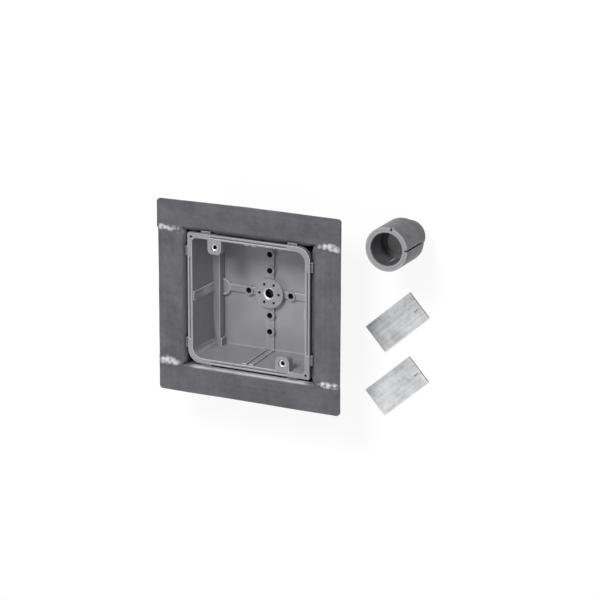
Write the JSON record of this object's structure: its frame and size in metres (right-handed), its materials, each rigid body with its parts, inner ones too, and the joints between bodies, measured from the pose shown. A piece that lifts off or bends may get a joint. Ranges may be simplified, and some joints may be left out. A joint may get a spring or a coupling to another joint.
{
  "type": "lead-lined outlet box",
  "caption": "Square moulded outlet box in a flanged, soldered lead casing, with a lead-sleeved conduit connector and loose lead plates.",
  "frame": {"origin": "centre of the lead back plate's outer face", "axes": "the box lies on its back: +Z out of the opening, +Y to the upper side as built in, +X to the right"},
  "size_m": [0.2175, 0.1695, 0.047],
  "materials": {
    "lead_sheet": "rolled lead sheet, dull grey with darker mottles",
    "solder": "wiped solder, bright and lumpy",
    "grey_pvc": "grey moulded PVC, satin",
    "plated_brass": "nickel-plated brass",
    "sleeve_lead": "lead sheet, satin grey",
    "bright_lead": "freshly cut lead, light silver with mottles"
  },
  "bodies": {
    "box": {"lead_back_plate": "lead_sheet", "lead_upper_strip": "lead_sheet", "lead_lower_strip": "lead_sheet", "lead_left_strip": "lead_sheet", "lead_right_strip": "lead_sheet", "flange_seam_upper_left": "solder", "flange_seam_upper_right": "solder", "flange_seam_lower_left": "solder", "flange_seam_lower_right": "solder", "corner_seam_upper_left": "solder", "corner_seam_upper_right": "solder", "corner_seam_lower_left": "solder", "corner_seam_lower_right": "solder", "back_seam_upper": "solder", "back_seam_lower": "solder", "back_seam_left": "solder", "back_seam_right": "solder", "box_body": "grey_pvc", "cover_inserts": "plated_brass", "centre_insert": "plated_brass"},
    "connector": {"connector_body": "grey_pvc", "connector_sleeve": "sleeve_lead"},
    "plate_1": {"lead_plate_1": "bright_lead"},
    "plate_2": {"lead_plate_2": "bright_lead"}
  },
  "joints": [
    {"name": "connector_lift", "type": "slide", "parent": "box", "child": "connector", "axis": [0, 0, 1], "range_m": [0, 0.08]},
    {"name": "plate_1_lift", "type": "slide", "parent": "box", "child": "plate_1", "axis": [0, 0, 1], "range_m": [0, 0.06]},
    {"name": "plate_2_lift", "type": "slide", "parent": "box", "child": "plate_2", "axis": [0, 0, 1], "range_m": [0, 0.06]}
  ]
}
